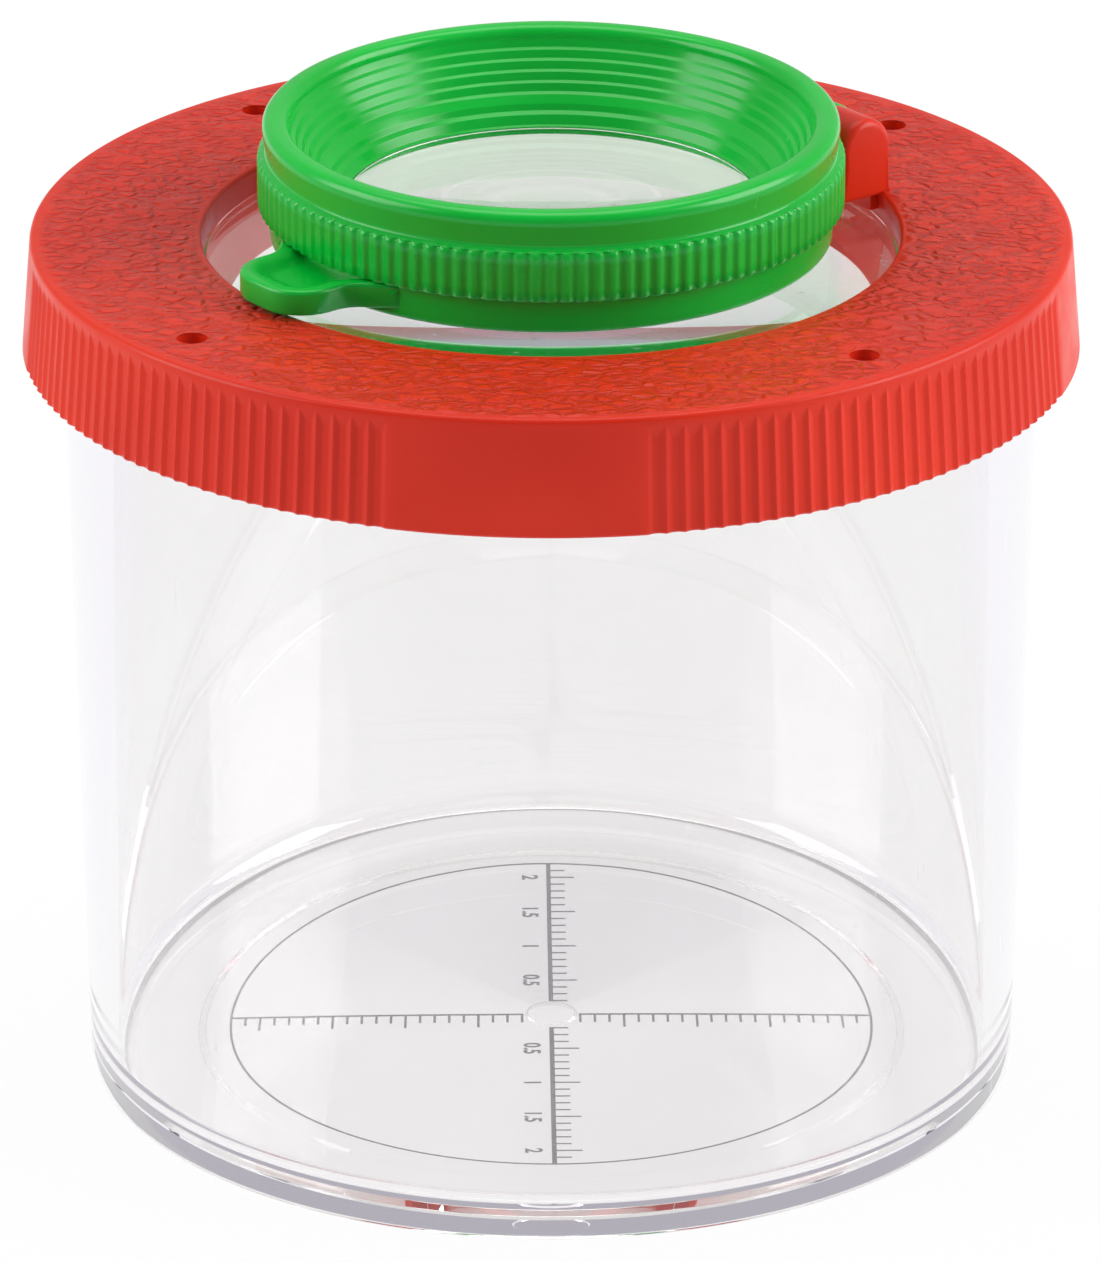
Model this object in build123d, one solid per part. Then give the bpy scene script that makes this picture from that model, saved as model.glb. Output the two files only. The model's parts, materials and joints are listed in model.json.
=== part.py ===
from build123d import *
import os
from math import cos, radians, sin, sqrt, tan

# Bug viewer jar: a clear jar, a push-on lid with a fixed lens, and a flip-up magnifier.
# Millimetres, +Z up. The origin is the centre of the jar's underside.
# Lid and magnifier are drawn with the hinge on +X and turned to hinge_angle at the end.

# Fits
running_gap = 0.05      # pin in the knuckle, radial
press_gap = 0.01        # pin in the lugs, radial
slide_gap = 0.1         # lid's grip pads on the jar, radial
seat_gap = 0.05         # faces that rest on each other
side_gap = 0.2          # knuckle between the lugs, each side
groove_gap = 0.1        # eyepiece round the neck and the lens in its seat
swing_gap = 0.3         # lugs clear of the eyepiece as it flips
bury = 0.05             # what is fused reaches this far into its neighbour

# Jar
jar_foot_radius = 31.2
jar_rim_radius = 32.3
jar_wall = 1.5
jar_floor = 2.0
jar_height = 56.4
jar_foot_round = 0.5
jar_inner_round = 1.6
jar_rim_round = 0.5
recess_radius = 24.2    # shallow recess under the floor, which keeps the scale off the table
recess_depth = 0.4
recess_slope = 0.5
gate_radius = 1.7
gate_depth = 0.3

# Lid
lid_plate = 1.8
rim_room = 0.55         # between the jar's seated rim and the plate, so that the holes open
skirt_high = 7.8
skirt_wall = 1.65
lid_draft = 4.6         # degrees
lid_edge_round = 0.35
plate_inner_round = 0.4
window_round = 0.3
vent_radius = 1.0
vent_count = 4
vent_turn = 2.0         # degrees past the hinge line
vent_inset = 4.45       # from the skirt's lower edge

# Ribs on the skirt, broken by plain pads as high as their crests
rib_count = 34          # grooves between two pads
rib_depth = 0.25
rib_crest = 0.2         # crest and flank as parts of the pitch
rib_flank = 0.22
rib_low = 1.3           # where the grooves begin to run out, below the top face
rib_run_out = 0.7
rib_left = 0.02         # depth left where they end
pad_count = 4
pad_wide = 23.0         # degrees
pad_turn = 49.6         # degrees past the hinge line

# Grip pads inside the skirt
grip_thick = 0.6
grip_wide = 18.0        # degrees
grip_depth = 3.6        # below the rim's seat

# Lens collar under the lid
collar_wall = 1.2
collar_depth = 4.4
snap_count = 6
snap_reach = 0.35
snap_high = 0.5
snap_wide = 14.0        # degrees

# Magnifier frame
frame_radius = 18.5
frame_sink = 0.3        # underside below the lid's top face
frame_band = 2.4        # height of the plain lower band
frame_round = 0.35
neck_step = 1.2
neck_wall = 1.4
neck_height = 1.5
seat_ledge = 0.85
seat_reach = 1.6        # width of the ledge that the lens rests on
soft_round = 0.2        # hardly seen edges of frame and eyepiece

# Thumb tab
tab_reach = 5.8         # beyond the frame
tab_wide = 7.6
tab_end_round = 2.9
tab_root_round = 2.4
tab_lift = 0.3          # above the lid's top face
tab_thick = 1.75
tab_dish = 0.45
tab_dish_round = 2.0
tab_dish_taper = 40.0   # degrees
tab_rim = 0.9
tab_root = 2.0          # into the ring

# Eyepiece
knurl_step = 0.8        # crests beyond the frame
knurl_depth = 0.25
knurl_high = 3.3
knurl_count = 120
knurl_chamfer = 0.25
knurl_crest = 0.2       # as a part of the pitch
knurl_root = 0.1
knurl_band = 1.2        # radial width of the knurled band
rim_high = 2.55         # rim's top above the knurl
rim_round = 0.65
lip_wide = 1.75
waist_step = 0.65
waist_rise = 0.2
mouth_step = 0.6        # mouth inside the frame's bore
mouth_thick = 0.35
mouth_lip = 0.45
mouth_slope = 0.3
mouth_round = 0.3
dish_wide = 1.3
dish_high = 1.9
dish_round = 0.6
cone_wide = 2.3         # stepped cone between the dish and the rim
step_count = 5
step_depth = 0.26
step_share = 0.8        # tread as a part of one step

# Eyepiece lens
eye_lens_edge = 1.2
eye_lens_shoulder = 0.35
eye_lens_curve = 64.0

# Hinge
hinge_angle = 39.0      # degrees from +X, seen from above
hinge_reach = 2.45      # pin's line beyond the frame
hinge_high = 3.6        # above the lid's top face
pin_radius = 0.75
barrel_radius = 1.45
knuckle_lift = 0.1      # foot above the frame's underside
knuckle_chamfer = 0.6
knuckle_root = 1.0      # into the ring
lug_radius = 2.1
lug_shift = 0.75        # arch's middle from the pin's line towards the lens
lug_drop = 0.4          # and below it
lug_inner = 4.6         # from the hinge's middle plane
lug_outer = 8.4
lug_round = 0.6
lug_sink = 0.3          # foot over the window, below the lid's top face
lug_waist = 1.4         # below the pin's line the lug only clears the eyepiece at rest
web_reach = 2.0         # web under a lug, inside the window's edge
blind_end = 1.2         # plastic left over the pin's hidden end
pin_inset = 0.2         # pin's open end below the lug's face

# Window and lid lens
window_reach = 2.05     # window's edge beyond the pin's line
lens_flange_wide = 1.6  # lens flange under the plate
lens_flange = 1.2
lens_shoulder_step = 0.3
lens_shoulder = 0.15
lens_shoulder_slope = 0.1
lens_top_curve = 165.0
lens_belly_step = 2.2
lens_bottom_curve = 86.0

# Worked-out sizes
jar_slope = (jar_rim_radius - jar_foot_radius) / jar_height
draft = tan(radians(lid_draft))
rim_seat = jar_height + seat_gap
plate_bottom = rim_seat + rim_room
lid_height = plate_bottom + lid_plate
lid_foot_height = lid_height - skirt_high
grip_inner = jar_rim_radius + slide_gap
skirt_inner = grip_inner + grip_thick
lid_radius = skirt_inner + skirt_wall + rib_depth
vent_circle = lid_radius - vent_inset
pivot_reach = frame_radius + hinge_reach
pivot_height = lid_height + hinge_high
window_radius = pivot_reach + window_reach
lens_top = plate_bottom - seat_gap
lens_radius = window_radius + lens_flange_wide
lens_shoulder_radius = window_radius - lens_shoulder_step
lens_belly_radius = lens_radius - lens_belly_step
lug_foot = lid_height - lug_sink
frame_bottom = lid_height - frame_sink
frame_top = frame_bottom + frame_band
neck_radius = frame_radius - neck_step
neck_top = frame_top + neck_height
seat_height = frame_bottom + seat_ledge
eye_lens_seat = neck_radius - neck_wall
eye_lens_radius = eye_lens_seat - groove_gap
eye_lens_bottom = seat_height + seat_gap
frame_bore = eye_lens_radius - seat_reach
knurl_radius = frame_radius + knurl_step
knurl_bottom = frame_top + seat_gap
knurl_top = knurl_bottom + knurl_high
eyepiece_top = knurl_top + rim_high
press_face = eye_lens_bottom + eye_lens_edge + seat_gap
mouth_radius = frame_bore - mouth_step
mouth_height = press_face + mouth_thick
dish_radius = mouth_radius + dish_wide
dish_height = mouth_height + dish_high
lip_inner = dish_radius + cone_wide
lip_radius = lip_inner + lip_wide
waist_radius = lip_radius - waist_step


def lathe(points, rounds):
    """Solid of revolution from a closed outline of (radius, height) points."""
    with BuildPart() as turned:
        with BuildSketch(Plane.XZ):
            with BuildLine():
                FilletPolyline(*points, radius=rounds, close=True)
            make_face()
        revolve(axis=Axis.Z)
    return turned.part


def polar(radius, degrees):
    return (radius * cos(radians(degrees)), radius * sin(radians(degrees)))


def arc_sag(radius, curve):
    """Height of a shallow spherical cap of this edge radius."""
    return curve - sqrt(curve ** 2 - radius ** 2)


def wedge(inner, outer, low, high, middle, width):
    """Part of a ring, width degrees wide, round the middle angle."""
    with BuildPart() as sector:
        with BuildSketch(Plane.XY.offset(low)):
            with BuildLine():
                CenterArc((0, 0), outer, middle - width / 2, width)
                CenterArc((0, 0), inner, middle - width / 2, width)
                Line(polar(inner, middle - width / 2), polar(outer, middle - width / 2))
                Line(polar(inner, middle + width / 2), polar(outer, middle + width / 2))
            make_face()
        extrude(amount=high - low)
    return sector.part


def make_jar():
    floor_radius = jar_foot_radius + jar_slope * jar_floor - jar_wall
    rim_inner = jar_rim_radius - jar_wall
    outline = [
        (0, recess_depth),
        (recess_radius - recess_slope, recess_depth),
        (recess_radius, 0),
        (jar_foot_radius, 0),
        (jar_rim_radius, jar_height),
        (rim_inner, jar_height),
        (floor_radius, jar_floor),
        (0, jar_floor),
    ]
    rounds = [0, 0, 0, jar_foot_round, jar_rim_round, jar_rim_round, jar_inner_round, 0]
    jar = lathe(outline, rounds)
    gate = Pos(0, 0, recess_depth) * Cylinder(
        gate_radius, gate_depth, align=(Align.CENTER, Align.CENTER, Align.MIN)
    )
    return jar - gate


def skirt_radius(height):
    return lid_radius - (height - lid_foot_height) * draft


def skirt_outline(height, depth):
    """Ribs and plain pads round the skirt at one height."""
    pad_span = 360 / pad_count
    rib_pitch = (pad_span - pad_wide) / rib_count
    crest = skirt_radius(height)
    root = crest - depth
    flank = rib_crest / 2 + rib_flank
    groove = [(rib_crest / 2, crest), (flank, root), (1 - flank, root), (1 - rib_crest / 2, crest)]
    with BuildLine() as outline:
        for index in range(pad_count):
            pad_start = pad_turn - pad_wide / 2 + index * pad_span
            pad_end = pad_start + pad_wide
            CenterArc((0, 0), crest, pad_start, pad_wide)
            points = [polar(crest, pad_end)]
            for rib in range(rib_count):
                for part, radius in groove:
                    points.append(polar(radius, pad_end + (rib + part) * rib_pitch))
            points.append(polar(crest, pad_start + pad_span))
            Polyline(*points)
    return Pos(0, 0, height) * make_face(outline.line.edges())


def make_skirt_shell():
    """Ribbed band: the grooves run out in points under the lid's edge."""
    run_out = lid_height - rib_low
    return loft([
        skirt_outline(lid_foot_height, rib_depth),
        skirt_outline(run_out, rib_depth),
        skirt_outline(run_out + rib_run_out, rib_left),
    ], ruled=True)


def make_lid_body():
    """Top plate with its edge, standing on the ribbed skirt."""
    band_top = lid_height - rib_low + rib_run_out
    ledge = 2 * rib_left
    outline = [
        (0, band_top),
        (skirt_radius(band_top) - ledge, band_top),
        (skirt_radius(lid_height) - ledge, lid_height),
        (0, lid_height),
    ]
    cap = lathe(outline, [0, 0, lid_edge_round, 0])
    cavity = [
        (0, lid_foot_height),
        (skirt_inner, lid_foot_height),
        (skirt_inner - (plate_bottom - lid_foot_height) * draft, plate_bottom),
        (0, plate_bottom),
    ]
    hollow = lathe(cavity, [0, 0, plate_inner_round, 0])
    return make_skirt_shell() + cap - hollow


def make_grips():
    """Pads behind the plain stretches: they hold the jar and stop its rim below the plate."""
    reach = skirt_inner - (plate_bottom - lid_foot_height) * draft + skirt_wall / 2
    grips = []
    for index in range(pad_count):
        middle = pad_turn + index * 360 / pad_count
        stop = wedge(
            jar_rim_radius - jar_wall, reach, rim_seat, plate_bottom + bury, middle, grip_wide
        )
        pad = wedge(grip_inner, reach, rim_seat - grip_depth, plate_bottom + bury, middle, grip_wide)
        grips.append(stop + pad)
    return grips


def plain_ring(inner, outer, low, high):
    return lathe([(inner, low), (outer, low), (outer, high), (inner, high)], [0, 0, 0, 0])


def make_collar():
    """Ring under the plate that takes the lens, with snap beads below the lens flange."""
    inner = lens_radius + slide_gap
    low = plate_bottom - collar_depth
    ring = plain_ring(inner, inner + collar_wall, low, plate_bottom + bury)
    bead_top = lens_top - lens_flange - seat_gap
    beads = [
        wedge(inner - snap_reach, inner + bury, bead_top - snap_high, bead_top, turn, snap_wide)
        for turn in [index * 360 / snap_count + 180 / snap_count for index in range(snap_count)]
    ]
    return [ring] + beads


def swing_room(aside):
    """How near the eyepiece comes to the pin's line, this far from the hinge's middle plane."""
    return pivot_reach - sqrt(knurl_radius ** 2 - aside ** 2) - swing_gap


def make_lug(side):
    """One hinge lug: an arched block over the window's edge, hollowed round the eyepiece."""
    thick = lug_outer - lug_inner
    middle = pivot_reach - lug_shift
    arch_height = pivot_height - lug_drop
    front = middle - lug_radius
    back = middle + lug_radius
    with BuildPart() as lug:
        with BuildSketch(Plane.XZ.offset(-side * (lug_inner + lug_outer) / 2)):
            with BuildLine():
                Line((front, lug_foot), (front, arch_height))
                CenterArc((middle, arch_height), lug_radius, 0, 180)
                Polyline(
                    (back, arch_height),
                    (back, lid_height - bury),
                    (back + lid_plate, lid_height - bury),
                    (back + lid_plate, lug_foot),
                    (front, lug_foot),
                )
            make_face()
        extrude(amount=thick / 2, both=True)
        outer_face = lug.faces().sort_by(Axis.Y)[-1 if side > 0 else 0]
        fillet(outer_face.edges().filter_by(GeomType.CIRCLE), lug_round)
    slope = (swing_room(lug_outer) - swing_room(lug_inner)) / thick
    cone = Pos(pivot_reach, side * (lug_inner - 1), pivot_height) * Rot(-90 * side, 0, 0) * Cone(
        swing_room(lug_inner) - slope, swing_room(lug_outer) + slope, thick + 2,
        align=(Align.CENTER, Align.CENTER, Align.MIN),
    )
    lower = Pos(pivot_reach, side * lug_inner, lug_foot - 1) * Box(
        4 * lug_radius + 2 * lid_plate, 2 * lug_outer, pivot_height - lug_waist - lug_foot + 1,
        align=(Align.CENTER, Align.CENTER, Align.MIN),
    )
    room = Pos(0, 0, lug_foot - 1) * Cylinder(
        knurl_radius + swing_gap, 2 * hinge_high + 2, align=(Align.CENTER, Align.CENTER, Align.MIN)
    )
    return (lug.part & (cone + lower)) - room


def make_lug_web(side):
    """Web under a lug, from the window's wall in over the lens."""
    high = lug_foot + bury
    inner = window_radius - web_reach
    dome_rise = arc_sag(lens_shoulder_radius, lens_top_curve) - arc_sag(inner, lens_top_curve)
    low = lens_top + lens_shoulder + dome_rise + 2 * seat_gap
    outer = window_radius + lid_plate
    block = Pos(0, side * (lug_inner + lug_outer) / 2, low) * Box(
        outer, lug_outer - lug_inner - 2 * lug_round, high - low,
        align=(Align.MIN, Align.CENTER, Align.MIN),
    )
    return block & plain_ring(inner, outer, low, high)


def make_lid():
    lid = make_lid_body()
    lid -= Pos(0, 0, lid_height) * Cylinder(window_radius, 3 * lid_plate)
    rim = lid.edges().filter_by(GeomType.CIRCLE).filter_by(
        lambda edge: abs(edge.radius - window_radius) < 0.01
    ).sort_by(Axis.Z)[-1]
    lid = fillet(rim, window_round)
    for piece in make_grips() + make_collar():
        lid += piece
    for side in (-1, 1):
        lid += make_lug(side)
        lid += make_lug_web(side)
    for index in range(vent_count):
        x, y = polar(vent_circle, vent_turn + index * 360 / vent_count)
        lid -= Pos(x, y, lid_height) * Cylinder(vent_radius, 3 * lid_plate)
    # the pin goes in through the lug at +Y and stops inside the lug at -Y
    hole_length = lug_outer * 2 - blind_end + 1
    lid -= Pos(pivot_reach, lug_outer + 1, pivot_height) * Rot(90, 0, 0) * Cylinder(
        pin_radius + press_gap, hole_length, align=(Align.CENTER, Align.CENTER, Align.MIN)
    )
    return lid


def make_lid_lens():
    flange_bottom = lens_top - lens_flange
    top = lens_top + lens_shoulder
    shoulder = lens_shoulder_radius
    crown = top + arc_sag(shoulder, lens_top_curve)
    belly = flange_bottom - arc_sag(lens_belly_radius, lens_bottom_curve)
    with BuildPart() as lens:
        with BuildSketch(Plane.XZ):
            with BuildLine():
                RadiusArc((0, crown), (shoulder, top), lens_top_curve)
                Polyline(
                    (shoulder, top),
                    (shoulder + lens_shoulder_slope, lens_top),
                    (lens_radius, lens_top),
                    (lens_radius, flange_bottom),
                    (lens_belly_radius, flange_bottom),
                )
                RadiusArc((lens_belly_radius, flange_bottom), (0, belly), lens_bottom_curve)
                Line((0, belly), (0, crown))
            make_face()
        revolve(axis=Axis.Z)
    return lens.part


def make_tab():
    """Thumb tab: rounded end, flared roots and a shallow dish between soft edges."""
    low = lid_height + tab_lift
    end = -frame_radius - tab_reach
    half = tab_wide / 2
    flare = half + tab_root_round
    root = -sqrt(frame_radius ** 2 - flare ** 2)
    inside = root + tab_root
    dish_end = end + tab_rim
    dish_root = -frame_radius + tab_rim
    with BuildPart() as tab:
        with BuildSketch(Plane.XY.offset(low)):
            with BuildLine():
                FilletPolyline(
                    (inside, flare),
                    (root, flare),
                    (root - tab_root_round, half),
                    (end, half),
                    (end, -half),
                    (root - tab_root_round, -half),
                    (root, -flare),
                    (inside, -flare),
                    radius=[0, tab_root_round, tab_end_round, tab_end_round, tab_root_round, 0],
                )
                Line((inside, -flare), (inside, flare))
            make_face()
        extrude(amount=tab_thick)
        with BuildSketch(Plane.XY.offset(low + tab_thick)):
            with Locations(((dish_end + dish_root) / 2, 0)):
                RectangleRounded(dish_root - dish_end, tab_wide - 2 * tab_rim, tab_dish_round)
        extrude(amount=-tab_dish, taper=tab_dish_taper, mode=Mode.SUBTRACT)
    keep = plain_ring(eye_lens_seat + bury, frame_radius + tab_reach + 1, low - 1, frame_top)
    return tab.part & keep


def make_knuckle():
    """Barrel between the lugs, on a foot that reaches out from the lower band."""
    half = lug_inner - side_gap
    back = pivot_reach + barrel_radius
    front = pivot_reach - barrel_radius
    foot = frame_bottom + knuckle_lift
    with BuildPart() as knuckle:
        with BuildSketch(Plane.XZ):
            with BuildLine():
                CenterArc((pivot_reach, pivot_height), barrel_radius, 0, 180)
                Polyline(
                    (back, pivot_height),
                    (back, foot + knuckle_chamfer),
                    (back - knuckle_chamfer, foot),
                    (frame_radius - knuckle_root, foot),
                    (frame_radius - knuckle_root, frame_top),
                    (front, frame_top),
                    (front, pivot_height),
                )
            make_face()
        extrude(amount=half, both=True)
    bore = Pos(pivot_reach, 0, pivot_height) * Rot(90, 0, 0) * Cylinder(
        pin_radius + running_gap, 4 * half
    )
    inside = Pos(0, 0, frame_bottom) * Cylinder(neck_radius, 4 * frame_band)
    return knuckle.part - bore - inside


def make_frame():
    outline = [
        (frame_bore, frame_bottom),
        (frame_radius, frame_bottom),
        (frame_radius, frame_top),
        (neck_radius, frame_top),
        (neck_radius, neck_top),
        (eye_lens_seat, neck_top),
        (eye_lens_seat, seat_height),
        (frame_bore, seat_height),
    ]
    rounds = [soft_round, frame_round, soft_round, 0, soft_round, soft_round, 0, soft_round]
    return lathe(outline, rounds) + make_tab() + make_knuckle()


def knurl_outline(shrink):
    """Rounded ribs round the eyepiece, all radii less by shrink."""
    crest = knurl_radius - shrink
    root = crest - knurl_depth
    pitch = 360 / knurl_count
    shape = [
        (knurl_root / 2, root), (0.5 - knurl_crest / 2, crest),
        (0.5 + knurl_crest / 2, crest), (1 - knurl_root / 2, root),
    ]
    points = [
        polar(radius, (index + part) * pitch)
        for index in range(knurl_count)
        for part, radius in shape
    ]
    return make_face(Polyline(*points, close=True))


def funnel_steps():
    """Fine steps down the cone between the rim and the smooth dish, from the top."""
    top = eyepiece_top - rim_round - step_depth
    fall = dish_height - top
    points = []
    for step in range(step_count):
        share = step / step_count
        tread_end = (step + step_share) / step_count
        points.append((lip_inner - cone_wide * share, top + fall * share))
        points.append((lip_inner - cone_wide * tread_end + step_depth, top + fall * tread_end))
    return points


def make_eyepiece():
    groove_outer = neck_radius + groove_gap
    groove_top = neck_top + groove_gap
    knurl_floor = knurl_radius - knurl_depth - bury
    steps = funnel_steps()
    lower = [
        (groove_outer, knurl_bottom),
        (knurl_floor, knurl_bottom),
        (knurl_floor, knurl_top),
        (waist_radius, knurl_top + waist_rise),
        (lip_radius, eyepiece_top - rim_round - waist_rise),
        (lip_radius, eyepiece_top),
        (lip_inner, eyepiece_top),
    ]
    inner = [
        (dish_radius, dish_height),
        (mouth_radius + mouth_lip + mouth_slope, mouth_height + mouth_slope),
        (mouth_radius + mouth_lip, mouth_height + soft_round),
        (mouth_radius, mouth_height),
        (mouth_radius + mouth_slope, press_face),
        (eye_lens_radius - groove_gap, press_face),
        (eye_lens_radius - groove_gap, groove_top),
        (groove_outer, groove_top),
    ]
    rounds = [0, 0, 0, 0, 0, rim_round, rim_round] + [0] * len(steps)
    rounds += [dish_round, mouth_round, 0, 0, 0, 0, 0, 0]
    body = lathe(lower + steps + inner, rounds)
    knurl = loft([
        Pos(0, 0, knurl_bottom + seat_gap) * knurl_outline(0),
        Pos(0, 0, knurl_top - knurl_chamfer) * knurl_outline(0),
        Pos(0, 0, knurl_top) * knurl_outline(knurl_chamfer),
    ], ruled=True)
    bore = Pos(0, 0, knurl_bottom) * Cylinder(knurl_radius - knurl_band, 4 * knurl_high)
    return body + (knurl - bore)


def make_eye_lens():
    edge_top = eye_lens_bottom + eye_lens_edge
    shoulder = edge_top + eye_lens_shoulder
    dome_radius = mouth_radius - groove_gap
    crown = shoulder + arc_sag(dome_radius, eye_lens_curve)
    with BuildPart() as lens:
        with BuildSketch(Plane.XZ):
            with BuildLine():
                RadiusArc((0, crown), (dome_radius, shoulder), eye_lens_curve)
                Polyline(
                    (dome_radius, shoulder),
                    (dome_radius, edge_top),
                    (eye_lens_radius, edge_top),
                    (eye_lens_radius, eye_lens_bottom),
                    (0, eye_lens_bottom),
                    (0, crown),
                )
            make_face()
        revolve(axis=Axis.Z)
    return lens.part


def make_pin():
    length = 2 * lug_outer - blind_end - seat_gap - pin_inset
    return Pos(pivot_reach, lug_outer - pin_inset, pivot_height) * Rot(90, 0, 0) * Cylinder(
        pin_radius, length, align=(Align.CENTER, Align.CENTER, Align.MIN)
    )


turn = Rot(0, 0, hinge_angle)
nodes = {
    "jar": make_jar(),
    "lid": turn * make_lid(),
    "lid_lens": turn * make_lid_lens(),
    "hinge_pin": turn * make_pin(),
    "magnifier_frame": turn * make_frame(),
    "eyepiece": turn * make_eyepiece(),
    "eyepiece_lens": turn * make_eye_lens(),
}
os.makedirs("parts", exist_ok=True)
for name, solid in nodes.items():
    export_step(solid, f"parts/{name}.step")
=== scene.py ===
import json
import bmesh
import bpy
from math import asin, atan2, cos, pi, radians, sin, sqrt, tan
from mathutils import Matrix, Vector


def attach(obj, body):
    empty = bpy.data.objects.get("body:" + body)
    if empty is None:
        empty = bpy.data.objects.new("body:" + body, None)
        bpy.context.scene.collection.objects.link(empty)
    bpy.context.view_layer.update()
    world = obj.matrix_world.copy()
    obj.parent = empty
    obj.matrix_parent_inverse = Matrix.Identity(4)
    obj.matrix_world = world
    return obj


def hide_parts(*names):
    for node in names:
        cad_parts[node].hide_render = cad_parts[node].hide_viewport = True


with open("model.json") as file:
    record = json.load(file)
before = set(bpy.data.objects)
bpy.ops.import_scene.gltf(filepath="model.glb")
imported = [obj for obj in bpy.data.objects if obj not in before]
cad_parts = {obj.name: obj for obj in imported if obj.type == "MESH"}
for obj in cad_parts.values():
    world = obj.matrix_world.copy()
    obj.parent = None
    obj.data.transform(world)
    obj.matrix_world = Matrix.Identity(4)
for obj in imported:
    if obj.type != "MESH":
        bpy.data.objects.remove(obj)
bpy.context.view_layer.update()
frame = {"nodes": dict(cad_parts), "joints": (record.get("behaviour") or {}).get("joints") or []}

mm = 0.001  # the dictionaries below hold millimetres and degrees
overlap = 0.05  # shells of one moulding reach this far into each other
flip = next(joint for joint in frame["joints"] if joint["name"] == "magnifier_flip")
pivot = Vector(flip["pos_m"]) / mm
hingeTurn = atan2(pivot.y, pivot.x)
pivotReach = Vector((pivot.x, pivot.y)).length
print("frame loaded:", ", ".join(sorted(frame["nodes"])))


# Outlines and turned shapes

def roundCorners(corners, steps=5):
    # corners are (x, y, round); a round of 0 keeps the corner sharp
    points = []
    for index, (x, y, size) in enumerate(corners):
        here = Vector((x, y))
        if size == 0:
            points.append(here)
            continue
        toLast = (Vector(corners[index - 1][:2]) - here).normalized()
        toNext = (Vector(corners[(index + 1) % len(corners)][:2]) - here).normalized()
        half = toLast.angle(toNext) / 2
        middle = here + (toLast + toNext).normalized() * (size / sin(half))
        start = here + toLast * (size / tan(half)) - middle
        end = here + toNext * (size / tan(half)) - middle
        sweep = start.angle_signed(end)
        for step in range(steps + 1):
            turn = Matrix.Rotation(-sweep * step / steps, 2)
            points.append(middle + turn @ start)
    return points


def capArc(edgeRadius, edgeHeight, curve, steps=14, down=False):
    # shallow spherical cap from its edge to the axis
    sign = -1 if down else 1
    base = sqrt(curve ** 2 - edgeRadius ** 2)
    points = []
    for step in range(steps + 1):
        radius = edgeRadius * (1 - step / steps)
        points.append(Vector((radius, edgeHeight + sign * (sqrt(curve ** 2 - radius ** 2) - base))))
    return points


def rings(points, segments, band=False):
    return [(point.x, point.y, segments, band) for point in points]


def turnedMesh(name, levels, band=None, turns=None):
    # levels are (radius, height, segments) round a closed outline; radius 0 is a pole
    # band names a vertex attribute that marks the levels whose fourth value is true
    # turns are the angles of the finest levels where they aren't evenly spaced
    shape = bmesh.new()
    layer = shape.verts.layers.float.new(band) if band else None
    loops = []
    for radius, height, segments, *marks in levels:
        count = 1 if radius < 1e-6 else segments
        loop = []
        for index in range(count):
            angle = turns[index * len(turns) // count] if turns else 2 * pi * index / count
            vert = shape.verts.new((radius * cos(angle) * mm, radius * sin(angle) * mm, height * mm))
            if layer and any(marks):
                vert[layer] = 1.0
            loop.append(vert)
        loops.append(loop)
    for index, loop in enumerate(loops):
        joinLoops(shape, loop, loops[(index + 1) % len(loops)])
    bmesh.ops.recalc_face_normals(shape, faces=shape.faces)
    return finishedObject(name, shape)


def joinLoops(shape, first, second):
    # quads between loops of one count, wider polygons where one loop has more points
    if len(first) == 1 and len(second) == 1:
        return
    few, many = (first, second) if len(first) <= len(second) else (second, first)
    share = len(many) // len(few)
    for index in range(len(few) if len(few) > 1 else len(many)):
        if len(few) == 1:
            shape.faces.new((few[0], many[index], many[(index + 1) % len(many)]))
            continue
        run = [many[(index * share + step) % len(many)] for step in range(share + 1)]
        shape.faces.new([few[(index + 1) % len(few)], few[index]] + run)


def prismMesh(name, outline, low, high, bevel=0.0, bevelSteps=4, sharpTurn=50):
    # outline in the XZ plane, drawn out along Y
    shape = bmesh.new()
    near = [shape.verts.new((x * mm, low * mm, z * mm)) for x, z in outline]
    far = [shape.verts.new((x * mm, high * mm, z * mm)) for x, z in outline]
    skinLoops(shape, [near, far])
    if bevel:
        rims = [edge for edge in shape.edges if edge.calc_face_angle(0) > radians(sharpTurn)]
        bmesh.ops.bevel(
            shape, geom=rims, offset=bevel * mm, segments=bevelSteps, profile=0.5,
            affect="EDGES", clamp_overlap=True,
        )
    return finishedObject(name, shape)


def wedgeMesh(name, inner, outer, low, high, middle, width, steps=12):
    # part of a ring, width degrees wide round the middle angle
    shape = bmesh.new()
    columns = []
    for step in range(steps + 1):
        angle = radians(middle - width / 2 + width * step / steps)
        column = []
        for radius, height in ((inner, low), (outer, low), (outer, high), (inner, high)):
            place = (radius * cos(angle) * mm, radius * sin(angle) * mm, height * mm)
            column.append(shape.verts.new(place))
        columns.append(column)
    skinLoops(shape, columns)
    return finishedObject(name, shape)


def drill(name, radius, start, end, segments=48):
    # plain rod between two points, used as a cutter or a pin
    start = Vector(start)
    end = Vector(end)
    shape = bmesh.new()
    bmesh.ops.create_cone(
        shape, cap_ends=True, segments=segments, radius1=radius * mm, radius2=radius * mm,
        depth=(end - start).length * mm,
    )
    aim = Vector((0, 0, 1)).rotation_difference(end - start).to_matrix().to_4x4()
    bmesh.ops.transform(shape, matrix=Matrix.Translation((start + end) / 2 * mm) @ aim, verts=shape.verts)
    return finishedObject(name, shape)


def finishedObject(name, shape):
    mesh = bpy.data.meshes.new(name)
    shape.to_mesh(mesh)
    shape.free()
    piece = bpy.data.objects.new(name, mesh)
    bpy.context.collection.objects.link(piece)
    return piece


def joined(name, pieces):
    # several closed shells as one mesh
    shape = bmesh.new()
    for piece in pieces:
        shape.from_mesh(piece.data)
        bpy.data.objects.remove(piece)
    return finishedObject(name, shape)


def turnShape(piece, angle):
    piece.data.transform(Matrix.Rotation(angle, 4, "Z"))


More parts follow.
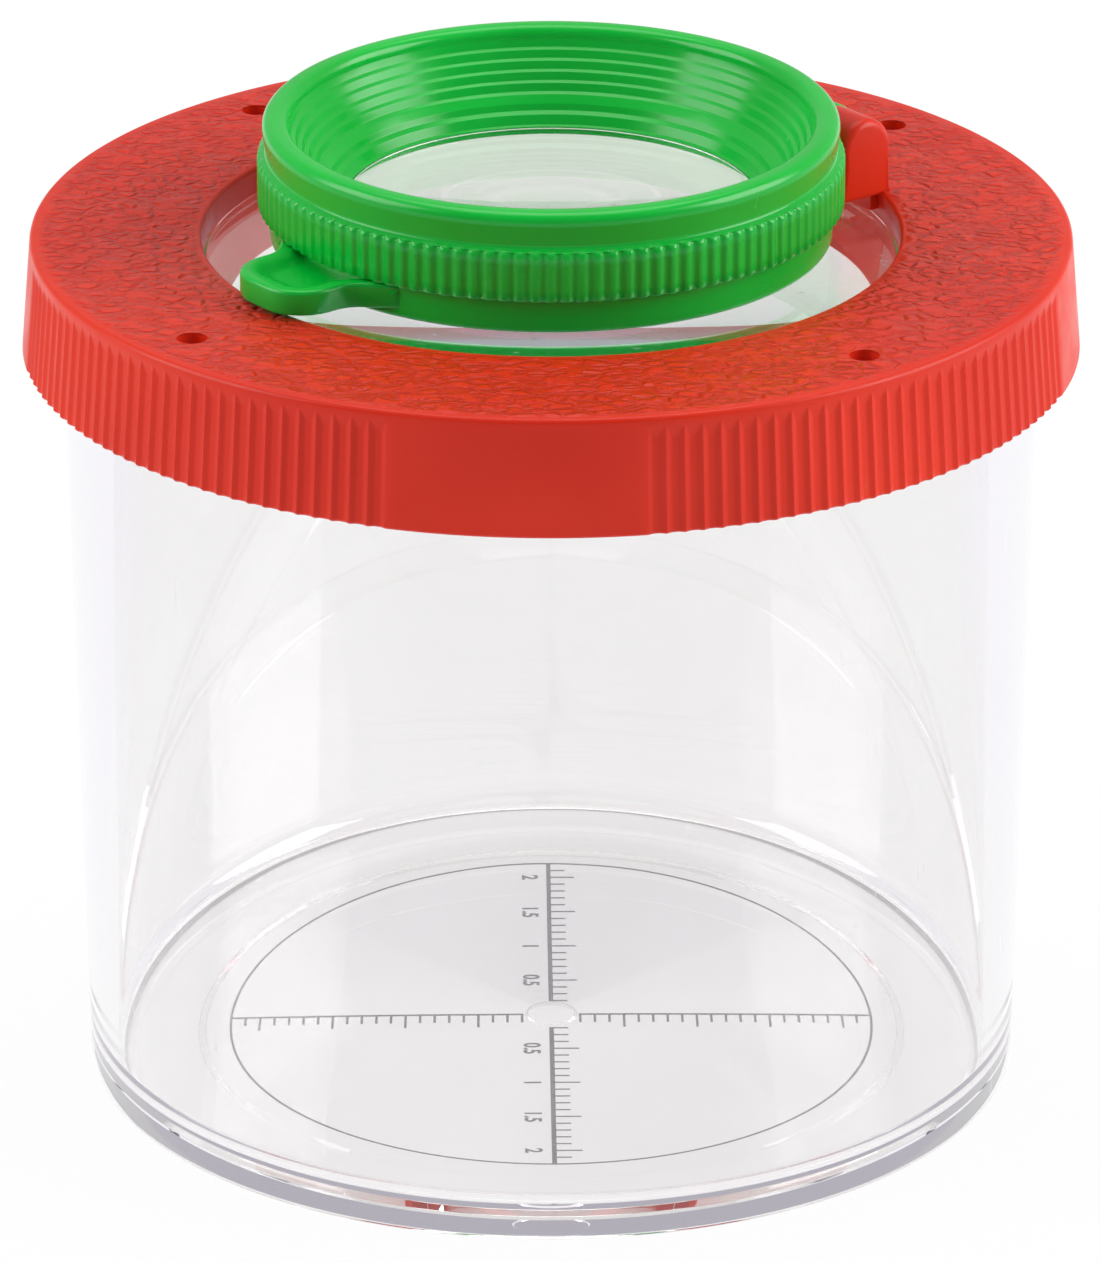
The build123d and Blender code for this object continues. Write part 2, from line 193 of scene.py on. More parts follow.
def paintWith(piece, paint):
    # one finish all over the piece
    piece.data.materials.clear()
    piece.data.materials.append(paints[paint])
    for face in piece.data.polygons:
        face.material_index = 0


def skinLoops(shape, loops):
    # a closed skin through loops of one count, with a flat face over each end
    for first, second in zip(loops, loops[1:]):
        for index in range(len(first)):
            after = (index + 1) % len(first)
            shape.faces.new((first[index], first[after], second[after], second[index]))
    shape.faces.new(loops[0])
    shape.faces.new(loops[-1])
    bmesh.ops.recalc_face_normals(shape, faces=shape.faces)


def insetLoop(outline, inset):
    # every point moved inwards along the outline's own normal
    moved = []
    for index, point in enumerate(outline):
        along = (outline[(index + 1) % len(outline)] - outline[index - 1]).normalized()
        moved.append(point + Vector((-along.y, along.x)) * inset)
    return moved


def shadeByAngle(piece, limit=32):
    # smooth faces, with sharp edges where the surface turns by more than the limit
    shape = bmesh.new()
    shape.from_mesh(piece.data)
    for face in shape.faces:
        face.smooth = True
    for edge in shape.edges:
        edge.smooth = edge.calc_face_angle(0) < radians(limit)
    shape.to_mesh(piece.data)
    shape.free()


def cutAway(piece, cutters):
    for cutter in cutters:
        tool = piece.modifiers.new("cut", "BOOLEAN")
        tool.operation = "DIFFERENCE"
        tool.solver = "EXACT"
        tool.object = cutter
    bake(piece)
    for cutter in cutters:
        bpy.data.objects.remove(cutter)


def bake(piece):
    # modifiers applied, and the result kept as a plain mesh
    seen = piece.evaluated_get(bpy.context.evaluated_depsgraph_get())
    mesh = bpy.data.meshes.new_from_object(seen)
    piece.modifiers.clear()
    piece.data = mesh


# Node trees

class Wiring:
    # short ways to add and join nodes

    def add(self, kind, inputs=None, **settings):
        node = self.tree.nodes.new(kind)
        for key, setting in settings.items():
            setattr(node, key, setting)
        for key, source in (inputs or {}).items():
            self.feed(node.inputs[key], source)
        return node

    def feed(self, socket, source):
        if isinstance(source, bpy.types.NodeSocket):
            self.tree.links.new(source, socket)
        else:
            socket.default_value = source

    def math(self, operation, *sources):
        return self.add("ShaderNodeMath", dict(enumerate(sources)), operation=operation).outputs[0]

    def times(self, first, second):
        return self.math("MULTIPLY", first, second)

    def vector(self, operation, *sources):
        return self.add("ShaderNodeVectorMath", dict(enumerate(sources)), operation=operation).outputs[0]

    def scaled(self, source, factor):
        inputs = {"Vector": source, "Scale": factor}
        return self.add("ShaderNodeVectorMath", inputs, operation="SCALE").outputs[0]

    def split(self, source):
        return self.add("ShaderNodeSeparateXYZ", {"Vector": source}).outputs

    def combine(self, **parts):
        return self.add("ShaderNodeCombineXYZ", parts).outputs[0]

    def ramp(self, source, low, high, fromValue=0.0, toValue=1.0, kind="SMOOTHSTEP"):
        inputs = dict(enumerate((source, low, high, fromValue, toValue)))
        return self.add("ShaderNodeMapRange", inputs, interpolation_type=kind).outputs[0]


class Rule(Wiring):
    # a geometry tree with named sizes, run as a modifier and kept as a plain mesh

    def __init__(self, name, sizes):
        self.tree = bpy.data.node_groups.new(name, "GeometryNodeTree")
        sockets = self.tree.interface
        sockets.new_socket("Geometry", in_out="INPUT", socket_type="NodeSocketGeometry")
        sockets.new_socket("Geometry", in_out="OUTPUT", socket_type="NodeSocketGeometry")
        self.names = {}
        for size in sizes:
            socket = sockets.new_socket(size, in_out="INPUT", socket_type="NodeSocketFloat")
            self.names[size] = socket.identifier
        socket = sockets.new_socket("Material", in_out="INPUT", socket_type="NodeSocketMaterial")
        self.names["Material"] = socket.identifier
        self.entry = self.add("NodeGroupInput")
        self.exit = self.add("NodeGroupOutput")

    def size(self, name):
        return self.entry.outputs[name]

    def close(self, geometry):
        real = self.add("GeometryNodeRealizeInstances", {"Geometry": geometry})
        paint = self.add(
            "GeometryNodeSetMaterial",
            {"Geometry": real.outputs[0], "Material": self.size("Material")},
        )
        self.feed(self.exit.inputs["Geometry"], paint.outputs[0])

    def run(self, piece, sizes):
        tool = piece.modifiers.new(self.tree.name, "NODES")
        tool.node_group = self.tree
        for name, size in sizes.items():
            tool[self.names[name]] = size
        bake(piece)

    def pushRing(self, push):
        # moves the vertices marked by the attribute "band" along their own radius
        place = self.add("GeometryNodeInputPosition").outputs[0]
        band = self.add("GeometryNodeInputNamedAttribute", {"Name": "band"}, data_type="FLOAT")
        outward = self.vector("NORMALIZE", self.vector("MULTIPLY", place, (1, 1, 0)))
        reach = self.times(push, band.outputs[0])
        moved = self.add(
            "GeometryNodeSetPosition",
            {"Geometry": self.size("Geometry"), "Offset": self.scaled(outward, reach)},
        )
        self.close(moved.outputs[0])

    def angleAndHeight(self):
        parts = self.split(self.add("GeometryNodeInputPosition").outputs[0])
        return self.math("ARCTAN2", parts["Y"], parts["X"]), parts["Z"]

    def fromNearest(self, value):
        # signed distance to the nearest whole number
        return self.math("SUBTRACT", value, self.math("ROUND", value))


# Finishes

class Finish(Wiring):
    # a material on object coordinates, with its Principled shader ready to feed

    def __init__(self, name):
        self.material = bpy.data.materials.new(name)
        self.material.use_nodes = True
        self.tree = self.material.node_tree
        self.shader = self.tree.nodes["Principled BSDF"]
        self.exit = self.tree.nodes["Material Output"]
        self.place = self.add("ShaderNodeTexCoord").outputs["Object"]

    def noise(self, scale, detail=3.0, stretch=None, place=None, roughness=0.5):
        place = self.place if place is None else place
        if stretch:
            place = self.vector("MULTIPLY", place, stretch)
        node = self.add(
            "ShaderNodeTexNoise",
            {"Vector": place, "Scale": scale, "Detail": detail, "Roughness": roughness},
        )
        return node.outputs[0]

    def give(self, name, source):
        self.feed(self.shader.inputs[name], source)

    def blendColours(self, share, first, second):
        # inputs 6 and 7 and output 2 are the colours
        return self.add("ShaderNodeMix", {0: share, 6: first, 7: second}, data_type="RGBA").outputs[2]

    def bump(self, height, depth, after=None):
        inputs = {"Height": height, "Distance": depth * mm}
        if after is not None:
            inputs["Normal"] = after
        return self.add("ShaderNodeBump", inputs).outputs[0]

    def lampsThrough(self, colour, turns):
        # lamps and bounced light go through the clear plastic, so that what is inside is lit;
        # light that has been turned many times inside a wall leaves it instead of dying there
        path = self.add("ShaderNodeLightPath")
        clear = self.add("ShaderNodeBsdfTransparent", {"Color": colour})
        through = self.math("MAXIMUM", path.outputs["Is Shadow Ray"], path.outputs["Is Diffuse Ray"])
        late = self.math("GREATER_THAN", path.outputs["Ray Depth"], turns)
        mix = self.add("ShaderNodeMixShader", {0: self.math("MAXIMUM", through, late)})
        self.feed(mix.inputs[1], self.shader.outputs[0])
        self.feed(mix.inputs[2], clear.outputs[0])
        self.feed(self.exit.inputs["Surface"], mix.outputs[0])


def mouldedPlastic(name, look):
    # coloured moulding: slow drift of tone, faint orange peel, scuffs that dull and lighten it;
    # the peel is given back too, for a coarser bump to be laid over it
    finish = Finish(name)
    drift = finish.noise(look["driftScale"], 2.0)
    tone = finish.blendColours(finish.ramp(drift, 0.35, 0.65), look["deep"], look["bright"])
    scuffed = finish.noise(look["scuffScale"], 5.0, stretch=(1.0, 1.0, 0.35), roughness=0.7)
    scuffs = finish.ramp(scuffed, look["scuffFrom"], look["scuffFrom"] + 0.1)
    tone = finish.blendColours(finish.times(scuffs, 0.35), tone, look["worn"])
    finish.give("Base Color", tone)
    mottle = finish.ramp(finish.noise(look["driftScale"] * 6, 3.0), 0.3, 0.7, *look["roughness"])
    dulled = finish.math("MULTIPLY_ADD", scuffs, 0.18, mottle)
    finish.give("Roughness", dulled)
    finish.give("IOR", 1.5)
    finish.give("Specular IOR Level", look["shine"])
    peel = finish.bump(finish.noise(look["peelScale"], 2.0), look["peelDepth"])
    finish.give("Normal", peel)
    return finish, peel


redLook = {
    "deep": (0.6, 0.018, 0.004, 1), "bright": (0.67, 0.026, 0.006, 1), "worn": (0.72, 0.11, 0.05, 1),
    "driftScale": 45.0, "scuffScale": 380.0, "scuffFrom": 0.66, "roughness": (0.3, 0.42), "shine": 0.26,
    "peelScale": 700.0, "peelDepth": 0.01,
    "cellScale": 1000.0, "cellStretch": (0.72, 1.12, 0), "warpScale": 520.0, "warpReach": 0.0007,
    "creaseWide": 0.28, "breakScale": 700.0, "breakFrom": 0.46, "breakTo": 0.64, "breakHigh": 0.8,
    "fineScale": 2600.0, "fineShare": 0.06, "grainDepth": 0.19,
    # the crease colour and its share are painted shade in the grain's creases
    "creaseAndShade": (0.4, 0.012, 0.004, 1), "creaseShadeShare": 0.5,
    "grainInner": 23.2, "grainOuter": 33.9, "grainEdge": 0.8, "grainHeight": 58.7,
}


def grainedRed():
    # leather grain on the flat top, between the smooth borders at the window and the outer edge; its creases
    # are also darkened in colour, as painted shade
    look = redLook
    finish, peel = mouldedPlastic("redMoulding", look)
    warp = finish.add(
        "ShaderNodeTexNoise", {"Vector": finish.place, "Scale": look["warpScale"], "Detail": 2.0}
    ).outputs[1]
    centred = finish.vector("SUBTRACT", warp, (0.5, 0.5, 0.5))
    moved = finish.vector("ADD", finish.place, finish.scaled(centred, look["warpReach"]))
    flat = finish.vector("MULTIPLY", moved, look["cellStretch"])
    cells = finish.add(
        "ShaderNodeTexVoronoi", {"Vector": flat, "Scale": look["cellScale"]},
        feature="DISTANCE_TO_EDGE",
    ).outputs[0]
    creaseAndShade = finish.ramp(cells, 0.0, look["creaseWide"])
    broken = finish.noise(look["breakScale"], 2.0, place=flat)
    breaks = finish.ramp(broken, look["breakFrom"], look["breakTo"], 0.0, look["breakHigh"])
    pebbles = finish.math("MAXIMUM", creaseAndShade, breaks)
    relief = finish.math("MULTIPLY_ADD", finish.noise(look["fineScale"]), look["fineShare"], pebbles)
    out = finish.vector("MULTIPLY", finish.place, (1, 1, 0))
    radius = finish.add("ShaderNodeVectorMath", {0: out}, operation="LENGTH").outputs["Value"]
    edge = look["grainEdge"] * mm
    inner = finish.ramp(radius, look["grainInner"] * mm, look["grainInner"] * mm + edge)
    outer = finish.ramp(radius, look["grainOuter"] * mm - edge, look["grainOuter"] * mm, 1.0, 0.0)
    high = finish.math("GREATER_THAN", finish.split(finish.place)["Z"], look["grainHeight"] * mm)
    area = finish.times(finish.times(inner, outer), high)
    height = finish.times(relief, area)
    grain = finish.bump(height, look["grainDepth"], after=peel)
    finish.give("Normal", grain)
    # painted shade: the creases between the pebbles are blended towards a darker red
    shadedCreases = finish.times(finish.math("SUBTRACT", 1.0, pebbles), area)
    darker = finish.times(shadedCreases, look["creaseShadeShare"])
    colour = finish.shader.inputs["Base Color"]
    plain = colour.links[0].from_socket
    finish.feed(colour, finish.blendColours(darker, plain, look["creaseAndShade"]))
    return finish.material


greenLook = {
    "deep": (0.0005, 0.4, 0.03, 1), "bright": (0.0015, 0.47, 0.042, 1), "worn": (0.1, 0.55, 0.14, 1),
    "driftScale": 60.0, "scuffScale": 420.0, "scuffFrom": 0.68, "roughness": (0.17, 0.26), "shine": 0.4,
    "peelScale": 900.0, "peelDepth": 0.006,
}


def glossGreen():
    return mouldedPlastic("greenMoulding", greenLook)[0].material


clearLook = {
    "tint": (0.932, 0.926, 0.926, 1), "shade": (0.91, 0.902, 0.902, 1), "ior": 1.59,
    "leaving": (0.95, 0.94, 0.985, 1), "turns": 7.5,
    "roughness": (0.0, 0.03), "scratchScale": 90.0, "scratchDepth": 0.004,
    "waveScale": 30.0, "waveDepth": 0.02,
}
lensLook = dict(
    clearLook, tint=(0.985, 0.99, 0.975, 1), shade=(0.975, 0.98, 0.96, 1), ior=1.5,
    scratchDepth=0.002, waveDepth=0.0,
)


def clearPlastic(name, look):
    # clear moulding: faint flow waves, hair scratches that catch the light, a trace of tint
    finish = Finish(name)
    finish.give("Transmission Weight", 1.0)
    finish.give("IOR", look["ior"])
    haze = finish.noise(look["waveScale"], 3.0)
    tone = finish.blendColours(finish.ramp(haze, 0.4, 0.7), look["tint"], look["shade"])
    finish.give("Base Color", tone)
    lines = finish.noise(look["scratchScale"], 6.0, stretch=(6.0, 6.0, 0.7), roughness=0.8)
    scratches = finish.ramp(lines, 0.66, 0.7)
    rough = finish.ramp(haze, 0.55, 0.8, *look["roughness"])
    finish.give("Roughness", finish.math("MULTIPLY_ADD", scratches, 0.12, rough))
    waves = finish.bump(haze, look["waveDepth"])
    cuts = finish.bump(scratches, -look["scratchDepth"], after=waves)
    finish.give("Normal", cuts)
    finish.lampsThrough(look["leaving"], look["turns"])
    return finish.material


def scaleInk():
    # thin grey screen print, a little uneven where the ink is starved
    finish = Finish("scaleInk")
    starved = finish.ramp(finish.noise(1400.0, 3.0), 0.35, 0.7)
    tone = finish.blendColours(starved, (0.05, 0.05, 0.055, 1), (0.13, 0.13, 0.14, 1))
    finish.give("Base Color", tone)
    finish.give("Roughness", finish.ramp(starved, 0.0, 1.0, 0.55, 0.8))
    finish.give("Normal", finish.bump(finish.noise(3000.0), 0.005))
    return finish.material


def drawnSteel():
    # drawn wire, with fine lines along the pin and cloudy wear
    finish = Finish("drawnSteel")
    finish.give("Metallic", 1.0)
    clouds = finish.noise(500.0, 3.0)
    tone = finish.blendColours(clouds, (0.48, 0.48, 0.49, 1), (0.66, 0.66, 0.67, 1))
    finish.give("Base Color", tone)
    finish.give("Roughness", finish.ramp(clouds, 0.3, 0.7, 0.22, 0.4))
    finish.give("Normal", finish.bump(finish.noise(2500.0), 0.004))
    return finish.material


paints = {
    "red": grainedRed(), "green": glossGreen(), "jar": clearPlastic("clearPolystyrene", clearLook),
    "lens": clearPlastic("clearLens", lensLook), "ink": scaleInk(), "steel": drawnSteel(),
}
print("finishes ready:", len(paints))


# Jar

jar = {
    "footRadius": 31.2, "rimRadius": 32.3, "height": 56.4, "wall": 1.5, "floor": 2.0,
    "footRound": 0.5, "rimRound": 0.5, "innerRound": 1.6,
    "recessRadius": 24.2, "recessSlope": 0.5, "recessDepth": 0.4, "recessRound": 0.15,
    "gateRadius": 1.7, "gateDepth": 0.3, "gateRound": 0.12, "gateFoot": 0.1,
    "roundSteps": 8, "segments": 288,
}


def makeJar():
    slope = (jar["rimRadius"] - jar["footRadius"]) / jar["height"]
    floorRadius = jar["footRadius"] + slope * jar["floor"] - jar["wall"]
    rimInner = jar["rimRadius"] - jar["wall"]
    gateTop = jar["recessDepth"] + jar["gateDepth"]
    outline = roundCorners([
        (0, gateTop, 0),
        (jar["gateRadius"], gateTop, jar["gateRound"]),
        (jar["gateRadius"], jar["recessDepth"], jar["gateFoot"]),
        (jar["recessRadius"] - jar["recessSlope"], jar["recessDepth"], jar["recessRound"]),
        (jar["recessRadius"], 0, jar["recessRound"]),
        (jar["footRadius"], 0, jar["footRound"]),
        (jar["rimRadius"], jar["height"], jar["rimRound"]),
        (rimInner, jar["height"], jar["rimRound"]),
        (floorRadius, jar["floor"], jar["innerRound"]),
        (0, jar["floor"], 0),
    ], jar["roundSteps"])
    shell = turnedMesh("jarShell", rings(outline, jar["segments"]))
    shadeByAngle(shell, 40)
    paintWith(shell, "jar")
    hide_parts("jar")
    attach(shell, "jar_body")


makeJar()
print("jar turned")


# Scale printed under the floor

scale = {
    "radius": 22.0, "centreGap": 1.9, "circleWidth": 0.17, "lineWidth": 0.22, "heavyWidth": 0.32,
    "tickWidth": 0.17, "shortTick": 1.15, "longTick": 1.85, "firstTick": 2, "step": 1.0, "longEvery": 5.0,
    "numbers": ("0.5", "1", "1.5", "2"), "numberSize": 1.568, "numberSqueeze": 0.85,
    "numberAside": 1.4, "numberBold": 0.045, "ink": 0.012, "below": 0.02, "turn": 0.6, "segments": 240,
}


def flatBar(name, x0, x1, width, top):
    return prismMesh(
        name, [(x0, top - scale["ink"]), (x1, top - scale["ink"]), (x1, top), (x0, top)],
        -width / 2, width / 2,
    )


def tickRule():
    # one row of ticks beside a line along X, a longer one at each half centimetre
    names = ["First", "Count", "Step", "Long every", "Short", "Long", "Width", "Ink", "Side", "Height"]
    rule = Rule("scaleTicks", names)
    count = rule.add("FunctionNodeFloatToInt", {"Float": rule.size("Count")}, rounding_mode="ROUND")
    start = rule.combine(X=rule.size("First"), Z=rule.size("Height"))
    step = rule.combine(X=rule.size("Step"))
    row = rule.add(
        "GeometryNodeMeshLine", {"Count": count.outputs[0], "Start Location": start, "Offset": step}
    )
    along = rule.split(rule.add("GeometryNodeInputPosition").outputs[0])["X"]
    number = rule.math("DIVIDE", along, rule.times(rule.size("Step"), rule.size("Long every")))
    off = rule.math("ABSOLUTE", rule.fromNearest(number))
    isLong = rule.math("LESS_THAN", off, 0.05)
    extra = rule.math("SUBTRACT", rule.size("Long"), rule.size("Short"))
    length = rule.math("MULTIPLY_ADD", isLong, extra, rule.size("Short"))
    shift = rule.times(rule.times(length, 0.5), rule.size("Side"))
    aside = rule.combine(Y=shift)
    moved = rule.add("GeometryNodeSetPosition", {"Geometry": row.outputs[0], "Offset": aside})
    tick = rule.add("GeometryNodeMeshCube", {"Size": (1.0, 1.0, 1.0)})
    shape = rule.combine(X=rule.size("Width"), Y=length, Z=rule.size("Ink"))
    placed = rule.add(
        "GeometryNodeInstanceOnPoints",
        {"Points": moved.outputs[0], "Instance": tick.outputs[0], "Scale": shape},
    )
    rule.close(placed.outputs[0])
    return rule


def tickRow(rule, side):
    row = finishedObject("ticks", bmesh.new())
    rule.run(row, {
        "First": scale["step"] * scale["firstTick"] * mm, "Count": scale["radius"] - scale["firstTick"],
        "Step": scale["step"] * mm, "Long every": scale["longEvery"], "Short": scale["shortTick"] * mm,
        "Long": scale["longTick"] * mm, "Width": scale["tickWidth"] * mm,
        "Ink": scale["ink"] * mm, "Side": side,
        "Height": (jar["recessDepth"] - scale["below"] - scale["ink"] / 2) * mm,
        "Material": paints["ink"],
    })
    return row


def numberMesh(text, along, top):
    # tops of the digits face +X, read from the far side to the near side
    letters = bpy.data.curves.new("number", "FONT")
    letters.body = text
    letters.size = scale["numberSize"] * mm
    letters.align_x = "CENTER"
    letters.align_y = "CENTER"
    letters.extrude = scale["ink"] / 2 * mm
    letters.offset = scale["numberBold"] * mm
    carrier = bpy.data.objects.new("number", letters)
    bpy.context.collection.objects.link(carrier)
    mesh = bpy.data.meshes.new_from_object(carrier.evaluated_get(bpy.context.evaluated_depsgraph_get()))
    bpy.data.objects.remove(carrier)
    place = Vector((-scale["numberAside"], along, top - scale["ink"] / 2)) * mm
    mesh.transform(Matrix.Diagonal((scale["numberSqueeze"], 1, 1, 1)))
    mesh.transform(Matrix.Translation(place) @ Matrix.Rotation(radians(-90), 4, "Z"))
    piece = bpy.data.objects.new("number", mesh)
    bpy.context.collection.objects.link(piece)
    return piece


def makeScale():
    top = jar["recessDepth"] - scale["below"]
    low = top - scale["ink"]
    inner = scale["radius"] - scale["circleWidth"] / 2
    outer = scale["radius"] + scale["circleWidth"] / 2
    corners = [Vector(corner) for corner in ((inner, top), (outer, top), (outer, low), (inner, low))]
    marks = [turnedMesh("circle", rings(corners, scale["segments"]))]
    rule = tickRule()
    for quarter in range(4):
        upright = quarter % 2 == 1
        width = scale["heavyWidth"] if upright else scale["lineWidth"]
        line = flatBar("line", scale["centreGap"], scale["radius"], width, top)
        # ticks stand on the +X side of the upright line and on the near side of the level one
        side = -1.0 if quarter in (0, 1) else 1.0
        for piece in (line, tickRow(rule, side)):
            turnShape(piece, radians(90) * quarter)
            marks.append(piece)
    for index, text in enumerate(scale["numbers"]):
        for end in (-1, 1):
            along = end * (index + 1) * scale["longEvery"] * scale["step"]
            marks.append(numberMesh(text, along, top))
    marks = joined("scalePrint", marks)
    turnShape(marks, radians(scale["turn"]))
    paintWith(marks, "ink")
    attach(marks, "jar_body")


makeScale()
print("scale printed")


# Lid

lid = {
    "height": 58.8, "plate": 1.8, "footHeight": 51.0, "radius": 34.9, "draft": 4.6, "edgeRound": 0.35,
    "inner": 33.0, "innerRound": 0.4, "windowRadius": 23.0, "windowRound": 0.3, "footChamfer": 0.15,
    "padSteps": 24, "grooveSteps": 12, "coarser": 4, "skirtLevels": (1.8, 3.6, 5.2),
    "ventRadius": 1.0, "ventCircle": 30.45, "ventCount": 4, "ventTurn": 2.0,
    "grooves": 31, "grooveDepth": 0.17, "crest": 0.02, "floor": 0.3,
    "runOutLow": 57.4, "runOutHigh": 58.2, "runOutLead": (0.3, 0.1), "runOutSteps": 8,
    "padCount": 4, "padWide": 27.6, "padTurn": 47.3,
    "collarInner": 24.7, "collarWall": 1.2, "collarDepth": 7.4, "collarRound": 0.2,
    "beadCount": 6, "beadReach": 0.35, "beadHigh": 0.5, "beadWide": 14.0, "beadRoot": 0.1, "beadDrop": 1.3,
    "gripTurn": 49.6, "gripWide": 18.0, "gripDepth": 3.6, "gripInner": 32.4, "gripOuter": 33.2,
    "stopInner": 30.8, "rimSeat": 56.45,
}
lug = {
    "radius": 2.1, "shift": 0.75, "drop": 0.4, "inner": 4.6, "outer": 8.4, "foot": 58.5,
    "endRound": 0.6, "innerEdge": 0.15, "clearRadius": 19.6, "swingInner": 1.9, "swingOuter": 3.25,
    "waist": 1.4, "lowTurn": 28.0, "padLow": 58.5, "padOuter": 24.1,
    "webInner": 21.0, "webOuter": 24.8, "webLow": 57.43, "holeRadius": 0.76, "blindEnd": 1.2,
    "archSteps": 48, "sideSteps": 6, "endSteps": 7,
}


def draftedRadius(height, radius):
    return radius - (height - lid["footHeight"]) * tan(radians(lid["draft"]))


def skirtTurns():
    # a few steps along each plain pad, a dozen across each groove
    span = 360 / lid["padCount"]
    pitch = (span - lid["padWide"]) / lid["grooves"]
    turns = []
    for index in range(lid["padCount"]):
        start = lid["padTurn"] - lid["padWide"] / 2 + index * span
        for step in range(lid["padSteps"]):
            turns.append(radians(start + lid["padWide"] * step / lid["padSteps"]))
        for step in range(lid["grooves"] * lid["grooveSteps"]):
            turns.append(radians(start + lid["padWide"] + pitch * step / lid["grooveSteps"]))
    return turns


def fluteRule():
    # grooves round the skirt between the plain pads; their floor slopes out below the lid's edge,
    # so that the ribs between them end in points
    names = ["Pitch", "Depth", "Pad span", "Pad half", "Pad turn", "Crest", "Floor", "Low", "High"]
    rule = Rule("skirtFlutes", names)
    angle, height = rule.angleAndHeight()
    padPlace = rule.math("SUBTRACT", angle, rule.size("Pad turn"))
    padShare = rule.fromNearest(rule.math("DIVIDE", padPlace, rule.size("Pad span")))
    padAway = rule.times(rule.math("ABSOLUTE", padShare), rule.size("Pad span"))
    padEdge = rule.math("SUBTRACT", padAway, rule.size("Pad half"))
    share = rule.math("ABSOLUTE", rule.fromNearest(rule.math("DIVIDE", padEdge, rule.size("Pitch"))))
    flank = rule.ramp(share, rule.size("Crest"), rule.size("Floor"), kind="LINEAR")
    slope = rule.ramp(height, rule.size("Low"), rule.size("High"), 1.0, 0.0, kind="LINEAR")
    groove = rule.math("MINIMUM", flank, slope)
    ribbed = rule.math("GREATER_THAN", padEdge, 0.0)
    push = rule.times(rule.times(groove, ribbed), rule.size("Depth"))
    rule.pushRing(rule.times(push, -1.0))
    return rule


def lidRings(many):
    few = many // lid["coarser"]
    foot = lid["footHeight"]
    top = lid["height"]
    plateBottom = top - lid["plate"]
    low = lid["runOutLow"]
    steps = lid["runOutSteps"]
    heights = [foot + rise for rise in (lid["footChamfer"], *lid["skirtLevels"])]
    heights += [low - lead for lead in lid["runOutLead"]]
    heights += [low + (lid["runOutHigh"] - low) * step / steps for step in range(steps + 1)]
    outer = [(lid["radius"] - lid["footChamfer"], foot, many, True)]
    outer += [(draftedRadius(height, lid["radius"]), height, many, True) for height in heights]
    edge = draftedRadius(top, lid["radius"])
    corner = roundCorners([(lid["radius"], foot, 0), (edge, top, lid["edgeRound"]), (0, top, 0)], 6)[1:-1]
    outer += rings(corner, many)
    window = roundCorners([
        (edge, top, 0),
        (lid["windowRadius"], top, lid["windowRound"]),
        (lid["windowRadius"], plateBottom, 0),
        (draftedRadius(plateBottom, lid["inner"]), plateBottom, lid["innerRound"]),
        (lid["inner"], foot, 0),
    ], 4)[1:]
    return outer + rings([Vector((edge - 1.0, top))], few) + rings(window, few)


def lugSection(aside):
    # lug's outline this far from the hinge's middle plane, measured from the pin's line:
    # an arch on upright walls, kept clear of the eyepiece at rest and as it flips
    middle = Vector((-lug["shift"], -lug["drop"]))
    share = (aside - lug["inner"]) / (lug["outer"] - lug["inner"])
    swing = lug["swingInner"] + (lug["swingOuter"] - lug["swingInner"]) * share
    front = max(middle.x - lug["radius"], sqrt(lug["clearRadius"] ** 2 - aside ** 2) - pivotReach)
    back = middle.x + lug["radius"]
    foot = lug["foot"] - pivot.z
    points = []
    first = -radians(lug["lowTurn"])
    last = pi + asin(lug["waist"] / swing)
    for step in range(lug["archSteps"] + 1):
        turn = first + (last - first) * step / lug["archSteps"]
        aim = Vector((cos(turn), sin(turn)))
        along = aim.dot(middle)
        reach = along + sqrt(along ** 2 - middle.length_squared + lug["radius"] ** 2)
        if (aim * reach).y < middle.y:
            reach = (back if aim.x > 0 else middle.x - lug["radius"]) / aim.x
        if aim.x < 0:
            reach = min(reach, front / aim.x)
        points.append(aim * min(reach, swing))
    return points + [Vector((front, -lug["waist"])), Vector((front, foot)), Vector((back, foot))]


def makeLug(side):
    # the arch with its bore, a pad under it in the plate, and a web below the window's edge
    inner, outer, end, edge = (lug[key] for key in ("inner", "outer", "endRound", "innerEdge"))
    flat = outer - end - inner - edge
    levels = [(inner, edge), (inner + edge * 0.3, edge * 0.3)]
    levels += [(inner + edge + flat * step / lug["sideSteps"], 0) for step in range(lug["sideSteps"] + 1)]
    for step in range(1, lug["endSteps"] + 1):
        turn = pi / 2 * step / lug["endSteps"]
        levels.append((outer - end + end * sin(turn), end * (1 - cos(turn))))
    shape = bmesh.new()
    loops = []
    for aside, inset in levels:
        points = insetLoop(lugSection(aside), inset)
        loops.append([
            shape.verts.new(((pivotReach + x) * mm, side * aside * mm, (pivot.z + y) * mm)) for x, y in points
        ])
    skinLoops(shape, loops)
    block = finishedObject("lug", shape)
    # the bore is blind in the lug that shows, and open in the hidden one
    ends = [(pivotReach, reach, pivot.z) for reach in (outer + 1, lug["blindEnd"] - outer)]
    cutAway(block, [drill("bore", lug["holeRadius"], *ends)])
    middle = side * (inner + outer) / 2
    half = (outer - inner) / 2 - end
    boxes = [
        ("lugPad", pivotReach, lug["padOuter"], lug["padLow"], lid["height"] - overlap),
        ("web", lug["webInner"], lug["webOuter"], lug["webLow"], lug["foot"] + overlap),
    ]
    pieces = [block]
    for name, near, far, low, high in boxes:
        corners = [(near, low), (far, low), (far, high), (near, high)]
        pieces.append(prismMesh(name, corners, middle - half, middle + half))
    return pieces


def makeGrips():
    # a stop over the jar's rim and a grip outside it, behind each plain pad
    high = lid["height"] - lid["plate"] + overlap
    seat = lid["rimSeat"]
    grips = []
    for index in range(lid["padCount"]):
        middle = lid["gripTurn"] + index * 360 / lid["padCount"]
        for name, inner, low in (
            ("stop", lid["stopInner"], seat), ("grip", lid["gripInner"], seat - lid["gripDepth"]),
        ):
            grips.append(wedgeMesh(name, inner, lid["gripOuter"], low, high, middle, lid["gripWide"]))
    return grips


